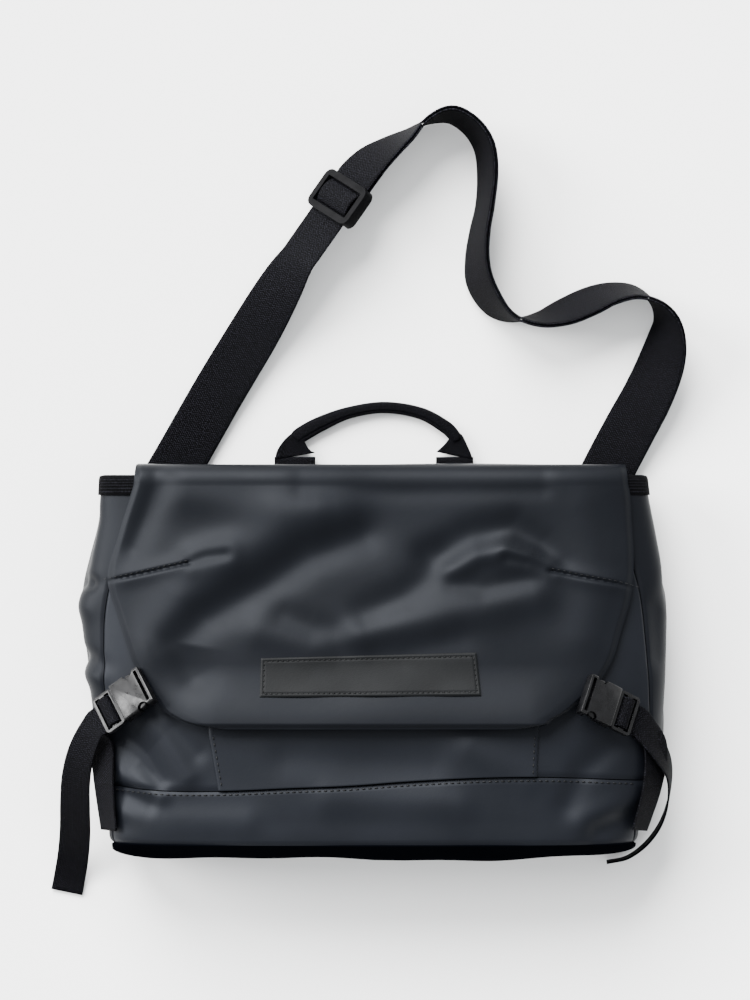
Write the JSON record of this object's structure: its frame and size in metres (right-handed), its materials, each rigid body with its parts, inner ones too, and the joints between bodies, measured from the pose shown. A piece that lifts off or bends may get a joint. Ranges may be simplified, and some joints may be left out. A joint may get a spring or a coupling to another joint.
{
  "type": "messenger bag",
  "caption": "Flat-lying fabric messenger bag with a wide buckled flap, leather label, haul handle and wide webbing shoulder strap with a slider.",
  "frame": {"origin": "on the flat rest face of the back panel, below the middle of the bag's width, at mid height of the body", "axes": "+Z out of the bag's front, +Y from the bag's foot to its mouth, +X to the right seen from the front"},
  "size_m": [0.4607, 0.5706, 0.1044],
  "materials": {
    "fabric": "coated twill, matte",
    "lining": "plain lining cloth",
    "padding": "quilted sleeve padding",
    "board": "polyethylene stiffener board",
    "webbing": "woven nylon webbing",
    "binding": "woven binding tape",
    "leather": "smooth split leather",
    "black_plastic": "moulded acetal"
  },
  "bodies": {
    "bag_body": {"back_panel": "fabric", "back_stiffener": "board", "base_board": "board", "bottom_panel": "fabric", "buckle_plug_left": "black_plastic", "buckle_plug_right": "black_plastic", "front_band": "fabric", "front_panel": "fabric", "front_pocket": "fabric", "gusset_left": "fabric", "gusset_right": "fabric", "handle_end_left": "webbing", "handle_end_right": "webbing", "inner_pocket": "lining", "lining": "lining", "mouth_tape_front": "binding", "mouth_tape_left": "binding", "mouth_tape_right": "binding", "pocket_binding": "binding", "ring_tab": "webbing", "shoulder_strap": "webbing", "shoulder_strap_return": "webbing", "side_strap_left": "webbing", "side_strap_right": "webbing", "sleeve_pad": "padding", "strap_anchor_left": "webbing", "strap_ring": "black_plastic", "tail_left": "webbing", "tail_right": "webbing"},
    "flap_over_mouth": {"flap_top": "fabric"},
    "flap": {"flap_front": "fabric", "flap_lining": "lining", "label_patch": "leather", "flap_tab_left": "webbing", "flap_tab_right": "webbing", "buckle_socket_left": "black_plastic", "buckle_socket_right": "black_plastic"},
    "handle": {"handle_loop": "webbing"},
    "slider": {"strap_slider": "black_plastic"},
    "prong_left_a": {"prong_left_a": "black_plastic"},
    "prong_left_b": {"prong_left_b": "black_plastic"},
    "prong_right_a": {"prong_right_a": "black_plastic"},
    "prong_right_b": {"prong_right_b": "black_plastic"}
  },
  "joints": [
    {"name": "flap_hinge", "type": "hinge", "parent": "bag_body", "child": "flap_over_mouth", "pos_m": [0, 0.139, 0.0105], "axis": [-1, 0, 0], "range_deg": [0, 40]},
    {"name": "flap_fold", "type": "hinge", "parent": "flap_over_mouth", "child": "flap", "pos_m": [0, 0.1395, 0.0645], "axis": [-1, 0, 0], "range_deg": [0, 120]},
    {"name": "handle_lift", "type": "hinge", "parent": "bag_body", "child": "handle", "pos_m": [0, 0.1475, 0.0045], "axis": [1, 0, 0], "range_deg": [0, 40]},
    {"name": "slider_travel", "type": "slide", "parent": "bag_body", "child": "slider", "axis": [-0.5741, -0.8188, 0], "range_m": [0, 0.028], "deforming": ["shoulder_strap_return"]},
    {"name": "prong_left_a_spring", "type": "hinge", "parent": "bag_body", "child": "prong_left_a", "pos_m": [-0.18282, -0.02055, 0.07898], "axis": [-0.4504, 0.3003, 0.8408], "range_deg": [-6, 0], "stiffness_Nm_per_rad": 0.05},
    {"name": "prong_left_b_spring", "type": "hinge", "parent": "bag_body", "child": "prong_left_b", "pos_m": [-0.17429, -0.03608, 0.0891], "axis": [-0.4504, 0.3003, 0.8408], "range_deg": [0, 6], "stiffness_Nm_per_rad": 0.05},
    {"name": "prong_right_a_spring", "type": "hinge", "parent": "bag_body", "child": "prong_right_a", "pos_m": [0.16715, -0.03981, 0.09135], "axis": [0.4522, 0.2211, 0.8641], "range_deg": [-6, 0], "stiffness_Nm_per_rad": 0.05},
    {"name": "prong_right_b_spring", "type": "hinge", "parent": "bag_body", "child": "prong_right_b", "pos_m": [0.17324, -0.02195, 0.0836], "axis": [0.4522, 0.2211, 0.8641], "range_deg": [0, 6], "stiffness_Nm_per_rad": 0.05}
  ],
  "couplings": [
    {"joint": "flap_fold", "follows": "flap_hinge", "ratio": 3},
    {"joint": "prong_left_b_spring", "follows": "prong_left_a_spring", "ratio": -1},
    {"joint": "prong_right_b_spring", "follows": "prong_right_a_spring", "ratio": -1}
  ]
}
